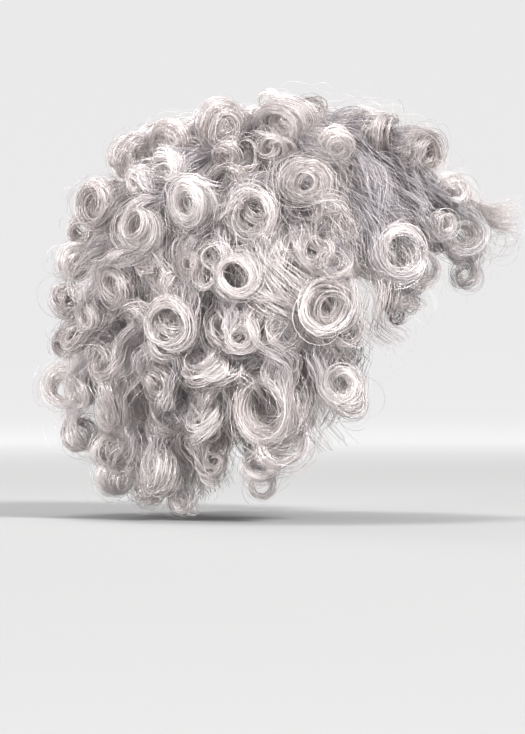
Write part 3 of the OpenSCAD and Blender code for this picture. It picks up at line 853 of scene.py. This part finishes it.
def hanging_fillers(rng, count, degrees, out):
    """Middles and radii of loops in the hair below the cap, between two azimuths off the nape's middle."""
    for _ in range(count):
        aside = rng.uniform(*degrees) * rng.choice([-1, 1])
        turn = math.radians(180 + aside)
        lowest = np.interp(abs(aside), [0, 40, 65, 96], [132, 126, 106, 84])
        off = rng.uniform(*out) * MM + 34 * MM * ((1 - math.cos(turn)) / 2) ** 3 * rng.random()
        place = np.array([(66 * MM + off) * math.sin(turn), -(86 * MM + off) * math.cos(turn), 0.0])
        yield place - UP * rng.uniform(38, lowest) * MM, rng.uniform(10, 17) * MM


TAB_SWING = 0.36                             # how far a folding ear tab's end moves out, over its height
TAB_GAP = 2 * MM                             # room kept between the swept tab and the hair


def tab_zones():
    """The boxes that the ear tabs sweep as they fold out, each as its low and high corner."""
    for side, sign in (("left", 1), ("right", -1)):
        low, high = (np.array(corner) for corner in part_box(f"ear_tab_{side}"))
        swing = TAB_SWING * (high[2] - low[2])
        low = low - TAB_GAP
        high = high + TAB_GAP
        if sign > 0:
            high[0] += swing
        else:
            low[0] -= swing
        yield low, high


def make_fillers(silver):
    """Small loops that fill the gaps between the big curls, clear of the ear tabs."""
    rng = np.random.default_rng(400)
    strands = Strands(avoid=list(tab_zones()))
    loops = list(cap_fillers(rng, 140)) + list(hanging_fillers(rng, 60, (0, 96), (4, 20)))
    loops += list(hanging_fillers(rng, 46, (45, 94), (16, 31)))
    for centre, radius in loops:
        normal = head_normal(centre)
        across = spread_out(np.cross(normal, flow(centre)) + 0.5 * rng.normal(0, 1, 3))
        facing = spread_out(np.array([np.sign(centre[0]) or 1.0, 0, 0]) + 0.35 * rng.normal(0, 1, 3))
        axis = facing if rng.random() < 0.6 else across
        curl = (centre, axis, radius, rng.uniform(0.35, 0.8), rng.uniform(8, 14) * MM)
        add_curl(strands, rng, curl, 26, 28, turns=(0.6, 1.3), tone=rng.uniform(0.35, 0.65),
                 back=rng.uniform(22, 44) * MM, wild=rng.uniform(1.1, 2.0))
    hair_pieces("filler_locks", strands, silver)


LOWEST_LOCK = cad_box[0].z + 24 * MM         # where the long locks between the curls end at the latest


def add_wave_lock(strands, rng, root, length, rise, bend, half, pitch, tone):
    """One flat lock that winds down over the under-hair, turning as it goes."""
    points, count = 24, 44
    near = on_head(root + rng.normal(0, 1, (count, 3)) * 1.6 * MM, 0)
    middle = combed(rng, near, np.full(count, length), points, np.full(count, rise), 0.0)
    normal = head_normal(middle)
    across = np.cross(normal, flow(middle))
    share = np.linspace(0, 1, points)[None, :]
    lane = rng.uniform(-1, 1, (count, 1))
    winding = rng.choice([-1, 1]) * 2 * math.pi * share * length / pitch
    winding = winding + rng.uniform(0, 2 * math.pi) + 0.3 * lane + rng.normal(0, 0.07, (count, 1))
    bend = bend * np.minimum(1, 3 * share)
    aside = bend * np.sin(winding) + lane * half * np.cos(winding)
    lift = 0.75 * bend * (1 + np.cos(winding)) - 0.5 * lane * half * np.sin(winding)
    paths = middle + aside[..., None] * across + lift[..., None] * normal
    thickness = STRAND * (0.75 + 0.35 * np.sin(math.pi * share)) * rng.uniform(0.8, 1.15, (count, 1))
    strands.add(paths, thickness, np.clip(tone + rng.normal(0, 0.14, count), 0, 1))


def make_wave_locks(silver, front_hair):
    """Long locks in S bends between the curls, and smooth sweeps over the front."""
    rng = np.random.default_rng(450)
    low, front = Strands(), Strands()
    for root in random_roots(rng, 210):
        turn = azimuth(root)
        if turn > 84 and root[2] < 45 * MM:
            length = min(rng.uniform(60, 112) * MM, root[2] - LOWEST_LOCK)
            rise = (rng.uniform(3, 9) + rng.uniform(0, 12) * (turn / 180) ** 2) * MM
            add_wave_lock(low, rng, root, length, rise, rng.uniform(5, 8) * MM, rng.uniform(4, 7) * MM,
                          rng.uniform(46, 70) * MM, rng.uniform(0.42, 0.75))
    for root in random_roots(rng, 130):
        if azimuth(root) < 80 and root[2] > 34 * MM:
            length = min(rng.uniform(55, 90) * MM, room_to_edge(root[None], 2 * MM)[0])
            add_wave_lock(front, rng, root, length, rng.uniform(4, 9) * MM, rng.uniform(3, 6) * MM,
                          rng.uniform(7, 10) * MM, rng.uniform(60, 95) * MM, rng.uniform(0.35, 0.85))
    hair_pieces("wave_locks", low, silver)
    hair_pieces("front_sweeps", front, front_hair)


def make_frizz(silver):
    """Single fine hairs that stray from the locks."""
    rng = np.random.default_rng(500)
    count, points = 1300, 16
    roots = random_roots(rng, count)
    length = rng.uniform(40, 80, count) * MM
    rise = rng.uniform(9, 34, count) * MM
    paths = combed(rng, roots, length, points, rise, 8 * MM)
    bend = np.stack([smooth_noise(rng, count, points, 0.9) for _ in range(3)], axis=-1)
    share = np.linspace(0, 1, points)[None, :, None]
    paths = paths + bend * share ** 1.3 * 9 * MM
    thickness = STRAND * 0.42 * np.linspace(1.0, 0.6, points)[None, :]
    strands = Strands()
    tone = np.clip(rng.normal(0.6, 0.2, count), 0, 1)
    for part in np.array_split(np.arange(count), 2):
        strands.add(paths[part], np.broadcast_to(thickness, (len(part), points)), tone[part])
    hair_pieces("stray_hairs", strands, silver)


# ---------- cap ----------


def layer_of(points):
    """How far each point lies outside the head form, along its ellipsoids."""
    off = np.zeros(len(points))
    for _ in range(12):
        axes = HEAD + off[:, None]
        size = np.linalg.norm(points / axes, axis=1)
        off = off + (size - 1) * np.linalg.norm(points, axis=1)
    return off


def smooth_shell(name, node, material, cuts=2, body=ROOT):
    """A CAD panel rebuilt with finer facets that lie on the head's curve."""
    form = bmesh.new()
    form.from_mesh(nodes[node].data)
    bmesh.ops.remove_doubles(form, verts=form.verts, dist=1e-6)
    held = form.verts.layers.float.new("layer")
    layers = layer_of(np.array([v.co for v in form.verts], float))
    for vert, value in zip(form.verts, layers):
        vert[held] = value
    bmesh.ops.subdivide_edges(form, edges=form.edges, cuts=cuts, use_grid_fill=True)
    places = on_head(np.array([v.co for v in form.verts], float), np.array([v[held] for v in form.verts]))
    for vert, place in zip(form.verts, places):
        vert.co = place
    mesh = bpy.data.meshes.new(name)
    form.to_mesh(mesh)
    form.free()
    mesh.polygons.foreach_set("use_smooth", [True] * len(mesh.polygons))
    mesh.set_sharp_from_angle(angle=math.radians(50))
    mesh.materials.clear()
    mesh.materials.append(material)
    piece = bpy.data.objects.new(name, mesh)
    bpy.context.collection.objects.link(piece)
    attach(piece, body)
    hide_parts(node)
    return piece


def polar_uv(piece):
    """UVs that run round the head and down it."""
    mesh = piece.data
    layer = mesh.uv_layers.new(name="OFBake")
    co = np.empty(len(mesh.vertices) * 3)
    mesh.vertices.foreach_get("co", co)
    co = co.reshape(-1, 3)
    corners = np.empty(len(mesh.loops), np.int32)
    mesh.loops.foreach_get("vertex_index", corners)
    turn = np.arctan2(co[:, 0], -co[:, 1]) / (2 * math.pi) + 0.5
    down = np.arccos(np.clip(co[:, 2] / np.linalg.norm(co, axis=1), -1, 1)) / math.pi
    uv = np.stack([turn, down], axis=1)[corners]
    layer.data.foreach_set("uv", uv.astype(np.float32).ravel())


def make_nape_mat(material):
    """The inner layer of the hair that hangs below the cap, with a ragged lower edge."""
    rng = np.random.default_rng(600)
    thin = 4 * MM
    half_width = 0.072
    half_length = 0.094
    top = -0.05
    end_drop = 0.03                          # height of the mat at its two ends
    more_drop = 0.032                        # how much higher than that it is at the nape
    turns = np.radians(np.linspace(100, 260, 81))
    ragged = np.interp(np.arange(81), np.arange(0, 81, 2), rng.uniform(-9, 9, 41)) * MM
    levels = np.linspace(0, 1, 8)
    grid = []
    for grow in (0.0, thin):
        for share in levels:
            for turn, ends in zip(turns, ragged):
                fade = math.sin((turn - turns[0]) / (turns[-1] - turns[0]) * math.pi) ** 0.5
                z = top - share * (end_drop + more_drop * fade + ends * fade)
                x = (half_width + grow) * math.sin(turn)
                y = -(half_length + grow) * math.cos(turn)
                grid.append((x, y, z))
    cols, rows = len(turns), len(levels)
    half = cols * rows
    faces = []
    for i in range(rows - 1):
        for j in range(cols - 1):
            a = i * cols + j
            faces.append((a, a + cols, a + cols + 1, a + 1))
            faces.append((a + half, a + half + 1, a + half + cols + 1, a + half + cols))
    rim = list(range(cols)) + [i * cols + cols - 1 for i in range(1, rows)]
    rim += [(rows - 1) * cols + j for j in range(cols - 2, -1, -1)]
    rim += [i * cols for i in range(rows - 2, 0, -1)]
    for a, b in zip(rim, rim[1:] + rim[:1]):
        faces.append((a, b, b + half, a + half))
    mesh = bpy.data.meshes.new("hair_mat_nape")
    mesh.from_pydata(grid, [], faces)
    mesh.polygons.foreach_set("use_smooth", [True] * len(faces))
    mesh.materials.append(material)
    piece = bpy.data.objects.new("hair_mat_nape", mesh)
    bpy.context.collection.objects.link(piece)
    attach(piece, ROOT)
    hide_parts("under_hair_nape")
    polar_uv(piece)


def repaint(node, material):
    """A CAD node that keeps its shape gets a finished material."""
    item = nodes[node]
    if item.material_slots:
        item.material_slots[0].material = material
    else:
        item.data.materials.append(material)


def make_cap():
    lace = woven_material("lace_net", (0.5, 0.48, 0.48), 0.0015, 0.45, 0.0002, roughness=0.7)
    stretch = woven_material("stretch_net", (0.24, 0.23, 0.238), 0.0028, 0.6, 0.0004, roughness=0.6)
    velvet = woven_material("velvet_tape", (0.3, 0.285, 0.3), 0.0006, 0.2, 0.0001, roughness=0.9,
                            sheen_weight=0.6, sheen_roughness=0.4)
    elastic = woven_material("ribbed_elastic", (0.1, 0.096, 0.104), 0.001, 0.4, 0.0002, roughness=0.7)
    weft = woven_material("weft_tape", (0.16, 0.155, 0.165), 0.0009, 0.5, 0.0003, roughness=0.7)
    label = woven_material("label_cloth", (0.82, 0.82, 0.8), 0.0004, 0.1, 0.00005, roughness=0.75)
    stay, _ = new_material("metal_stay", metallic=1.0, roughness=0.32)
    smooth_shell("crown_lace", "crown_panel", lace)
    smooth_shell("front_net", "front_panel", lace)
    smooth_shell("hairline_lace", "front_lace", lace)
    for side in ("left", "right"):
        smooth_shell(f"side_net_{side}", f"side_panel_{side}", stretch, cuts=1)
        smooth_shell(f"edge_tape_{side}", f"edge_binding_{side}", velvet)
        smooth_shell(f"ear_flap_{side}", f"ear_tab_{side}", velvet, body=f"ear_tab_{side}")
        repaint(f"ear_stay_{side}", stay)
        repaint(f"adjuster_casing_{side}", velvet)
        repaint(f"adjuster_strap_{side}", elastic)
        repaint(f"adjuster_hook_{side}", stay)
    smooth_shell("back_net", "back_panel", stretch, cuts=1)
    smooth_shell("nape_band", "nape_panel", velvet)
    smooth_shell("nape_velvet", "nape_lining", velvet)
    smooth_shell("front_tape", "hairline_tape", velvet)
    smooth_shell("crown_tape", "crown_binding", velvet)
    smooth_shell("rib_tapes", "elastic_ribs", elastic)
    smooth_shell("label_tab", "care_label", label)
    repaint("adjuster_loops", elastic)
    for k in range(1, 9):
        smooth_shell(f"weft_track_{k}", f"weft_{k}", weft)
    mat = hair_mat_with_painted_shade()
    for region in ("front", "crown", "left", "right", "back"):
        piece = smooth_shell(f"hair_mat_{region}", f"under_hair_{region}", mat)
        polar_uv(piece)
    make_nape_mat(mat)


def main():
    make_camera()
    make_lights()
    make_floor()
    make_cap()
    silver = hair_material("silver_hair", (0.18, 0.148, 0.137), (0.55, 0.492, 0.478),
                           (0.96, 0.92, 0.91), 0.42)
    light = hair_material("light_hair", (0.22, 0.186, 0.175), (0.6, 0.543, 0.53),
                          (0.98, 0.95, 0.945), 0.3, 0.36)
    root_hair = hair_material("root_hair", (0.13, 0.108, 0.102), (0.43, 0.382, 0.376),
                              (0.8, 0.742, 0.727), 0.5)
    make_curls(silver, light)
    make_fringe_tips(light)
    front_hair = hair_material("front_root_hair", (0.08, 0.07, 0.077), (0.2, 0.183, 0.2),
                               (0.6, 0.57, 0.59), 0.6)
    make_under_hair(root_hair, front_hair)
    make_side_locks(light)
    make_fillers(silver)
    make_wave_locks(silver, front_hair)
    make_frizz(silver)


main()
